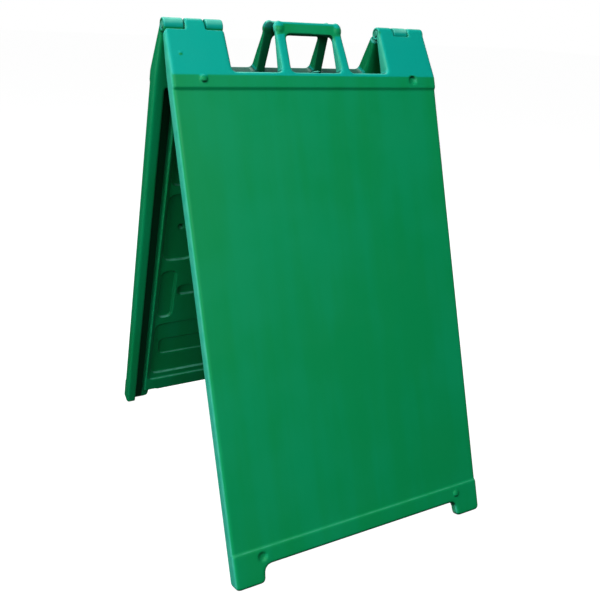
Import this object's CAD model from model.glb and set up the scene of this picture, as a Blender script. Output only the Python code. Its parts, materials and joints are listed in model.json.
"""Looks of the folding sandwich board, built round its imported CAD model.

Each panel is one soft-edged blow moulding. It is made once, upright in its own frame, and then
stands twice: leant back about the hinge, and again turned half round. In the panel's frame X runs
along the hinge, Z up the panel, -Y out of the sign face, and the origin is on the hinge axis.
"""

import json
from math import pi, radians

import bmesh
import bpy
from mathutils import Matrix, Vector


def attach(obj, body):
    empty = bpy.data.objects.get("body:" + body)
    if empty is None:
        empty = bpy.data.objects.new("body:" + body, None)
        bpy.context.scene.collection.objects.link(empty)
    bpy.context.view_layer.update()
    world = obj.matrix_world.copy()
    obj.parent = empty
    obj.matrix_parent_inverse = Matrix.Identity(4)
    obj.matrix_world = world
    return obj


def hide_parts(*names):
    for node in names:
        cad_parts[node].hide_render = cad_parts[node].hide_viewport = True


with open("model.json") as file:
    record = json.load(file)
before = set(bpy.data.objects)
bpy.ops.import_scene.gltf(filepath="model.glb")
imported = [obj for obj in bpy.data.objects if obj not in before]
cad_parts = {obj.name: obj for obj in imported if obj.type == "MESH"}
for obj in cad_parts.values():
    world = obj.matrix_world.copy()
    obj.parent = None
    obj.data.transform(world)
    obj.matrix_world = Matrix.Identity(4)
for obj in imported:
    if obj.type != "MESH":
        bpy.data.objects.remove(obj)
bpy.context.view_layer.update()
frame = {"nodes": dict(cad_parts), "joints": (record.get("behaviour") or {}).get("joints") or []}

# The frame's own numbers
FOLD = frame["joints"][0]
HINGE = Vector(FOLD["pos_m"])
LEAN = radians(FOLD["range_deg"][1] / 2)

# The moulding
VOXEL = 0.0016
SOFTEN_STEPS = 7
KEEP_FACES = 60000
FLAT_WEIGHT = 80  # how far large flat faces decide the shading normals
THICKNESS = 0.036
TAPER = 0.2  # the panel thins this much per metre above the bend
BEND_DROP = 0.106
HANDLE_CENTRE = 0.0075
HANDLE_CORNER = (0.0695, -0.0105, -0.001)  # block at the grip's end: half spacing, y and height
CORNER_BLOCK = (0.0130, 0.0090, 0.0160)
TOWER_PIP = (-0.290, 0.062)  # small round pip on the left tower: x and drop
PIP = (0.003, 0.0016, 0.003)

# The filler hole, sunk through the ledge's skin
FILLER_HOLE = 0.0075
FILLER_DEPTH = 0.0235  # from the hinge plane to the middle of the hole
LEDGE_HEIGHT = -0.097
SKIN_SPAN = (-0.0998, -0.0965)  # heights that hold the wall of the hole
UPRIGHT = 0.2  # a face is upright when its normal rises less than this

# Heights and distances where the plastic's look changes, each as the start and end of a fade.
# "Across" is the distance from the middle of the panel, whichever side.
SUN_ENDS = (-0.112, -0.104)  # the sun reaches the towers and handle above this
INNER_ACROSS = (0.301, 0.299)  # the inner side within the outer strips
INNER_DEPTH = (-0.0315, -0.0305)
INNER_TOP = (-0.112, -0.118)
SIGN_DEPTH = (-0.024, -0.030)
SIGN_TOP = (-0.120, -0.126)
SIGN_FOOT = (-1.080, -1.070)
GROOVE_START = (0.268, 0.271)  # the long grooves on the inner side
GROOVE_END = (0.292, 0.291)
GROOVE_FLOOR = (-0.004, -0.012)
GROOVE_BACK = (-0.022, -0.019)
GROOVE_TOP = (-0.12, -0.14)
BETWEEN_TOWERS = (0.187, 0.183)
LEDGE_DEPTH = (-0.031, -0.027)
LEDGE_TOP = (-0.089, -0.094)
LEDGE_FOOT = (-0.101, -0.098)
HANDLE_ACROSS = (0.125, 0.12)
HANDLE_FOOT = (-0.1, -0.095)

# Plastic: the body colour, the same bleached by the sun, worn pale, and under dirt
GREEN = (0.0010, 0.290, 0.094)
TEAL = (0.0010, 0.370, 0.290)
CHALK = (0.16, 0.62, 0.47, 1)
GRIME = (0.0008, 0.022, 0.010, 1)
PLUG = (0.002, 0.27, 0.12)
NYLON = (0.002, 0.12, 0.055)
NYLON_BLEACHED = (0.01, 0.25, 0.16)
DEEP_STREAK = (0.9, 0.96, 0.86)  # share of each colour in the darkest and lightest streaks
LIGHT_STREAK = (1.1, 1.03, 1.16)
DARK_ZINC = (0.42, 0.43, 0.44, 1)
LIGHT_ZINC = (0.62, 0.63, 0.65, 1)

# Light
COOL_WHITE = (0.95, 1.0, 1.0)
SOFTBOXES = (  # name, direction it stands in, distance, size, watts
    ("key", (-0.6, -0.15, 0.8), 4.4, 1.6, 118),
    ("left", (-0.95, -0.25, 0.0), 3.6, 2.0, 76),
    ("front", (-0.2, -0.8, 0.55), 4.4, 1.6, 84),
    ("back", (0.0, 0.5, 0.8), 3.5, 1.6, 70),
    ("right", (0.9, 0.35, 0.2), 4.0, 2.0, 50),
)
AMBIENT = 0.035
BACKDROP = 1.0
FLOOR_SIZE = 30
FLOOR_DROP = 0.0005

# Camera
LENS = 42.04
CAMERA_FROM_HINGE = Vector((-0.7607, -1.4221, 0.0293))
CAMERA_RIGHT = Vector((0.88259979, -0.46735854, 0.05092736))
CAMERA_UP = Vector((0.13419443, 0.3542707, 0.92546428))


# ---------------------------------------------------------------- camera, floor and light


def add_camera():
    data = bpy.data.cameras.new("camera")
    data.lens = LENS
    data.sensor_width = 36
    camera = bpy.data.objects.new("camera", data)
    bpy.context.scene.collection.objects.link(camera)
    back = CAMERA_RIGHT.cross(CAMERA_UP)
    turn = Matrix((CAMERA_RIGHT, CAMERA_UP, back)).transposed().to_4x4()
    camera.matrix_world = Matrix.Translation(HINGE + CAMERA_FROM_HINGE) @ turn
    bpy.context.scene.camera = camera


def add_floor():
    bm = bmesh.new()
    bmesh.ops.create_grid(bm, x_segments=1, y_segments=1, size=FLOOR_SIZE)
    mesh = bpy.data.meshes.new("floor")
    bm.to_mesh(mesh)
    bm.free()
    floor = bpy.data.objects.new("floor", mesh)
    floor.location.z = -FLOOR_DROP
    bpy.context.scene.collection.objects.link(floor)
    made = bpy.data.materials.new("floor")
    made.use_nodes = True
    shader = made.node_tree.nodes["Principled BSDF"]
    shader.inputs["Base Color"].default_value = (0.2, 0.2, 0.2, 1)
    shader.inputs["Roughness"].default_value = 0.9
    shader.inputs["Specular IOR Level"].default_value = 0.1
    shader.inputs["Emission Color"].default_value = (1, 1, 1, 1)
    shader.inputs["Emission Strength"].default_value = 0.98
    mesh.materials.append(made)
    floor.visible_diffuse = False
    floor.visible_glossy = False


def add_softbox(name, towards, distance, size, power):
    """A square area light that shines on the board from the direction towards."""
    data = bpy.data.lights.new(name, "AREA")
    data.shape = "SQUARE"
    data.size = size
    data.energy = power
    data.color = COOL_WHITE
    light = bpy.data.objects.new(name, data)
    aim = Vector((0, 0, HINGE.z / 2))
    direction = Vector(towards).normalized()
    turn = direction.to_track_quat("Z", "Y").to_matrix().to_4x4()
    light.matrix_world = Matrix.Translation(aim + direction * distance) @ turn
    bpy.context.scene.collection.objects.link(light)


def add_world(seen, ambient):
    """A bright backdrop that gives only a little light of its own."""
    world = bpy.data.worlds.new("studio")
    world.use_nodes = True
    tree = world.node_tree
    fill = tree.nodes["Background"]
    fill.inputs["Color"].default_value = (0.93, 1.0, 1.0, 1)
    fill.inputs["Strength"].default_value = ambient
    backdrop = tree.nodes.new("ShaderNodeBackground")
    backdrop.inputs["Color"].default_value = (1, 1, 1, 1)
    backdrop.inputs["Strength"].default_value = seen
    ray = tree.nodes.new("ShaderNodeLightPath")
    choose = tree.nodes.new("ShaderNodeMixShader")
    tree.links.new(ray.outputs["Is Camera Ray"], choose.inputs[0])
    tree.links.new(fill.outputs[0], choose.inputs[1])
    tree.links.new(backdrop.outputs[0], choose.inputs[2])
    tree.links.new(choose.outputs[0], tree.nodes["World Output"].inputs["Surface"])
    bpy.context.scene.world = world


def add_studio():
    add_camera()
    add_floor()
    add_world(BACKDROP, AMBIENT)
    for softbox in SOFTBOXES:
        add_softbox(*softbox)
    settings = bpy.context.scene.view_settings
    settings.view_transform = "Standard"
    settings.look = "None"


# ---------------------------------------------------------------- materials


class Graph:
    """Small helper that adds nodes to a material and links them."""

    def __init__(self, name):
        self.material = bpy.data.materials.new(name)
        self.material.use_nodes = True
        self.tree = self.material.node_tree
        self.shader = self.tree.nodes["Principled BSDF"]

    def add(self, kind, inputs=None, **settings):
        node = self.tree.nodes.new(kind)
        for key, value in settings.items():
            setattr(node, key, value)
        for key, value in (inputs or {}).items():
            self.feed(node.inputs[key], value)
        return node

    def feed(self, socket, value):
        if isinstance(value, bpy.types.NodeSocket):
            self.tree.links.new(value, socket)
        else:
            socket.default_value = value

    def noise(self, coordinates, scale, detail=2.0, stretch=(1, 1, 1)):
        mapping = self.add("ShaderNodeMapping", {"Vector": coordinates, "Scale": stretch})
        noise = self.add(
            "ShaderNodeTexNoise", {"Vector": mapping.outputs[0], "Scale": scale, "Detail": detail}
        )
        return noise.outputs["Fac"]

    def spread(self, value, low, high, to_low=0.0, to_high=1.0):
        """Maps low..high of a value smoothly onto to_low..to_high."""
        node = self.add(
            "ShaderNodeMapRange",
            {"Value": value, "From Min": low, "From Max": high, "To Min": to_low, "To Max": to_high},
            interpolation_type="SMOOTHSTEP",
        )
        return node.outputs["Result"]

    def math(self, operation, first, second):
        node = self.add("ShaderNodeMath", {0: first, 1: second}, operation=operation)
        return node.outputs[0]

    def mix(self, share, first, second):
        node = self.add("ShaderNodeMix", data_type="RGBA")
        self.feed(node.inputs[0], share)
        self.feed(node.inputs[6], first)
        self.feed(node.inputs[7], second)
        return node.outputs[2]


def parts_of(g, vector):
    """The X, Y and Z of a vector, and its size along X."""
    parts = g.add("ShaderNodeSeparateXYZ", {0: vector}).outputs
    return parts["X"], parts["Y"], parts["Z"], g.math("ABSOLUTE", parts["X"], 0.0)


def bleached_share(g, place):
    """How far the sun has bleached a spot: the towers, the handle and, less, the -X side."""
    nx, _, nz, _ = parts_of(g, place.outputs["Normal"])
    _, y, z, across = parts_of(g, place.outputs["Object"])
    upward = g.math("MULTIPLY", g.spread(nz, 0.04, 0.2), g.spread(z, *SUN_ENDS))
    sideways = g.spread(nx, -0.4, -1.0, 0.0, 0.6)
    exposed = g.math("MAXIMUM", upward, sideways)
    inner_skin = g.math("MULTIPLY", g.spread(across, *INNER_ACROSS), g.spread(y, *INNER_DEPTH))
    inside = g.math("MULTIPLY", inner_skin, g.spread(z, *INNER_TOP))
    return g.math("MULTIPLY", exposed, g.math("SUBTRACT", 1.0, inside))


def chalky_share(g, place):
    """Pale worn plastic on surfaces that look up or towards -X, patchy like real wear."""
    nx, _, nz, _ = parts_of(g, place.outputs["Normal"])
    worn = g.spread(g.noise(place.outputs["Object"], 35, 4), 0.25, 0.7, 0.35, 0.8)
    exposed = g.math("MAXIMUM", g.spread(nz, 0.5, 0.9), g.spread(nx, -0.5, -0.9, 0.0, 0.35))
    return g.math("MULTIPLY", exposed, worn)


def within(g, *shares):
    """The product of several shares: a spot counts only as far as it is in all of them."""
    product = shares[0]
    for share in shares[1:]:
        product = g.math("MULTIPLY", product, share)
    return product


def grimy_share(g, place):
    """Dark plastic that stands for dirt and also for deep shade.

    It lies under the lower edges, on the +X side, in the long grooves, on the ledge between the
    towers and on the inner side of the handle.
    """
    nx, ny, nz, _ = parts_of(g, place.outputs["Normal"])
    _, y, z, across = parts_of(g, place.outputs["Object"])
    on_sign = within(g, g.spread(y, *SIGN_DEPTH), g.spread(z, *SIGN_TOP), g.spread(z, *SIGN_FOOT))
    looks_down = g.spread(nz, -0.1, -0.6, 0.0, 0.9)
    under = within(g, looks_down, g.math("SUBTRACT", 1.0, g.math("MULTIPLY", on_sign, 0.8)))
    shaded = g.spread(nx, 0.3, 0.95, 0.0, 0.35)
    between = within(g, g.spread(across, *GROOVE_START), g.spread(across, *GROOVE_END))
    deep = within(g, g.spread(y, *GROOVE_FLOOR), g.spread(y, *GROOVE_BACK))
    groove = within(g, between, deep, g.spread(z, *GROOVE_TOP, 0.0, 0.9))
    amidst_towers = within(g, g.spread(across, *BETWEEN_TOWERS), g.spread(y, *LEDGE_DEPTH))
    on_ledge = within(g, g.spread(z, *LEDGE_TOP), g.spread(z, *LEDGE_FOOT))
    ledge = g.math("MULTIPLY", within(g, amidst_towers, on_ledge), 0.85)
    on_handle = within(g, g.spread(across, *HANDLE_ACROSS), g.spread(z, *HANDLE_FOOT))
    behind_handle = within(g, on_handle, g.spread(ny, 0.3, 0.8, 0.0, 0.75))
    dirt = under
    for share in (shaded, groove, ledge, behind_handle):
        dirt = g.math("MAXIMUM", dirt, share)
    return dirt


def moulded_plastic(name, colour, bleached, roughness, grain):
    """Polyethylene: flow streaks, a faint pebbled grain, bleaching, wear, rubbed edges and dirt."""
    g = Graph(name)
    place = g.add("ShaderNodeTexCoord")
    spot = place.outputs["Object"]
    streaks = g.noise(spot, 16, 4, stretch=(1, 1, 0.06))
    clouds = g.noise(spot, 3.5, 3)
    shade = g.math("ADD", streaks, clouds)
    deep = tuple(c * k for c, k in zip(colour, DEEP_STREAK)) + (1,)
    light = tuple(c * k for c, k in zip(colour, LIGHT_STREAK)) + (1,)
    body = g.mix(g.spread(shade, 0.8, 1.2), deep, light)
    body = g.mix(bleached_share(g, place), body, (*bleached, 1))
    body = g.mix(chalky_share(g, place), body, CHALK)
    bevel = g.add("ShaderNodeBevel", {"Radius": 0.004}, samples=4)
    true_normal = g.add("ShaderNodeNewGeometry").outputs["Normal"]
    agree = g.add("ShaderNodeVectorMath", {0: bevel.outputs[0], 1: true_normal}, operation="DOT_PRODUCT")
    rub = g.noise(spot, 60, 4)
    edge = g.math("MULTIPLY", g.spread(agree.outputs["Value"], 0.995, 0.9), g.spread(rub, 0.35, 0.7))
    body = g.mix(g.math("MULTIPLY", edge, 0.35), body, CHALK)
    body = g.mix(grimy_share(g, place), body, GRIME)
    g.feed(g.shader.inputs["Base Color"], body)
    patches = g.noise(spot, 14, 5)
    rough = g.spread(patches, 0.3, 0.7, roughness - 0.03, roughness + 0.05)
    g.feed(g.shader.inputs["Roughness"], rough)
    g.shader.inputs["Specular IOR Level"].default_value = 0.15
    pebble = g.noise(spot, grain, 3)
    ripple = g.noise(spot, 22, 2)
    bump = g.add("ShaderNodeBump", {"Strength": 0.25, "Distance": 0.0005, "Height": pebble})
    wave = g.add(
        "ShaderNodeBump",
        {"Strength": 0.1, "Distance": 0.003, "Height": ripple, "Normal": bump.outputs[0]},
    )
    g.feed(g.shader.inputs["Normal"], wave.outputs[0])
    return g.material


def plated_steel():
    g = Graph("zinc_plated_steel")
    inside = g.add("ShaderNodeTexCoord").outputs["Object"]
    spangle = g.noise(inside, 260, 3)
    drawn = g.noise(inside, 500, 3, stretch=(0.05, 1, 1))
    g.feed(g.shader.inputs["Base Color"], g.mix(spangle, DARK_ZINC, LIGHT_ZINC))
    g.shader.inputs["Metallic"].default_value = 1.0
    g.feed(g.shader.inputs["Roughness"], g.spread(drawn, 0.3, 0.7, 0.25, 0.45))
    bump = g.add("ShaderNodeBump", {"Strength": 0.15, "Distance": 0.0002, "Height": drawn})
    g.feed(g.shader.inputs["Normal"], bump.outputs[0])
    return g.material


# ---------------------------------------------------------------- the moulding


def standing(turned_round):
    """Where a panel stands: leant back about the hinge, and turned round if it is the rear one."""
    turn = Matrix.Rotation(pi if turned_round else 0, 4, "Z")
    return Matrix.Translation(HINGE) @ turn @ Matrix.Rotation(-LEAN, 4, "X")


def drop_cavity(bm):
    """Cuts the skin of the filler hole and keeps only the outside of the moulding."""
    hole = Vector((HANDLE_CENTRE, LEDGE_HEIGHT))
    low, high = SKIN_SPAN
    wall = []
    for face in bm.faces:
        middle = face.calc_center_median()
        away = (Vector((middle.x, middle.z)) - hole).length
        if abs(face.normal.z) < UPRIGHT and away < FILLER_HOLE and low < middle.z < high:
            if abs(middle.y + FILLER_DEPTH) < FILLER_HOLE:
                wall.append(face)
    bmesh.ops.delete(bm, geom=wall, context="FACES")
    outside = set()
    waiting = [max(bm.verts, key=lambda vertex: vertex.co.z)]
    while waiting:
        vertex = waiting.pop()
        if vertex in outside:
            continue
        outside.add(vertex)
        waiting.extend(edge.other_vert(vertex) for edge in vertex.link_edges)
    bmesh.ops.delete(bm, geom=[v for v in bm.verts if v not in outside], context="VERTS")
    rim = [edge for edge in bm.edges if edge.is_boundary]
    bmesh.ops.holes_fill(bm, edges=rim)


def add_blob(bm, centre, radii):
    """A smooth ellipsoid that melts into the moulding."""
    made = bmesh.ops.create_icosphere(bm, subdivisions=4, radius=1.0)["verts"]
    bmesh.ops.scale(bm, vec=radii, verts=made)
    bmesh.ops.translate(bm, vec=centre, verts=made)


def add_details(bm):
    """Handle corner knobs and the moulding pip."""
    half, y, height = HANDLE_CORNER
    for side in (-1, 1):
        add_blob(bm, (HANDLE_CENTRE + side * half, y, height), CORNER_BLOCK)
    x, drop = TOWER_PIP
    depth = THICKNESS - (BEND_DROP - drop) * TAPER
    add_blob(bm, (x, -depth, -drop), PIP)


def apply_modifiers(piece):
    """Replaces the piece's mesh with what its modifiers make of it."""
    bpy.context.view_layer.update()
    evaluated = piece.evaluated_get(bpy.context.evaluated_depsgraph_get())
    mesh = bpy.data.meshes.new_from_object(evaluated)
    piece.modifiers.clear()
    piece.data = mesh


def moulding_mesh():
    """The CAD moulding with its edges softened as blow moulding softens them."""
    bm = bmesh.new()
    bm.from_mesh(frame["nodes"]["front_panel"].data)
    bm.transform(standing(False).inverted())
    bmesh.ops.remove_doubles(bm, verts=bm.verts, dist=1e-5)
    drop_cavity(bm)
    add_details(bm)
    mesh = bpy.data.meshes.new("moulding")
    bm.to_mesh(mesh)
    bm.free()
    shaped = bpy.data.objects.new("moulding", mesh)
    bpy.context.scene.collection.objects.link(shaped)
    remesh = shaped.modifiers.new("remesh", "REMESH")
    remesh.mode = "VOXEL"
    remesh.voxel_size = VOXEL
    remesh.use_smooth_shade = True
    soften = shaped.modifiers.new("soften", "SMOOTH")
    soften.factor = 0.5
    soften.iterations = SOFTEN_STEPS
    apply_modifiers(shaped)
    thin = shaped.modifiers.new("thin", "DECIMATE")
    thin.ratio = min(1.0, KEEP_FACES / (2 * len(shaped.data.polygons)))
    weigh = shaped.modifiers.new("weigh", "WEIGHTED_NORMAL")
    weigh.weight = FLAT_WEIGHT
    apply_modifiers(shaped)
    made = shaped.data
    bpy.data.objects.remove(shaped)
    made.materials.clear()
    return made


def add_mouldings(plastic):
    mesh = moulding_mesh()
    mesh.materials.append(plastic)
    for body, turned_round in (("front", False), ("rear", True)):
        moulding = bpy.data.objects.new(f"{body}_moulding", mesh)
        moulding.matrix_world = standing(turned_round)
        bpy.context.scene.collection.objects.link(moulding)
        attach(moulding, body)
        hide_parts(f"{body}_panel")


def finish_cad_nodes(plug_plastic, nylon, steel):
    """Better materials for the small CAD pieces, which keep their own shape."""
    for name, node in frame["nodes"].items():
        if name.endswith("_panel"):
            continue
        finish = steel if name.endswith("hinge_pin") else nylon
        if name.endswith("fill_plug"):
            finish = plug_plastic
        node.data.materials.clear()
        node.data.materials.append(finish)


add_studio()
add_mouldings(moulded_plastic("green_polyethylene", GREEN, TEAL, 0.46, 700))
finish_cad_nodes(
    moulded_plastic("green_plug", PLUG, TEAL, 0.42, 900),
    moulded_plastic("green_nylon", NYLON, NYLON_BLEACHED, 0.5, 900),
    plated_steel(),
)
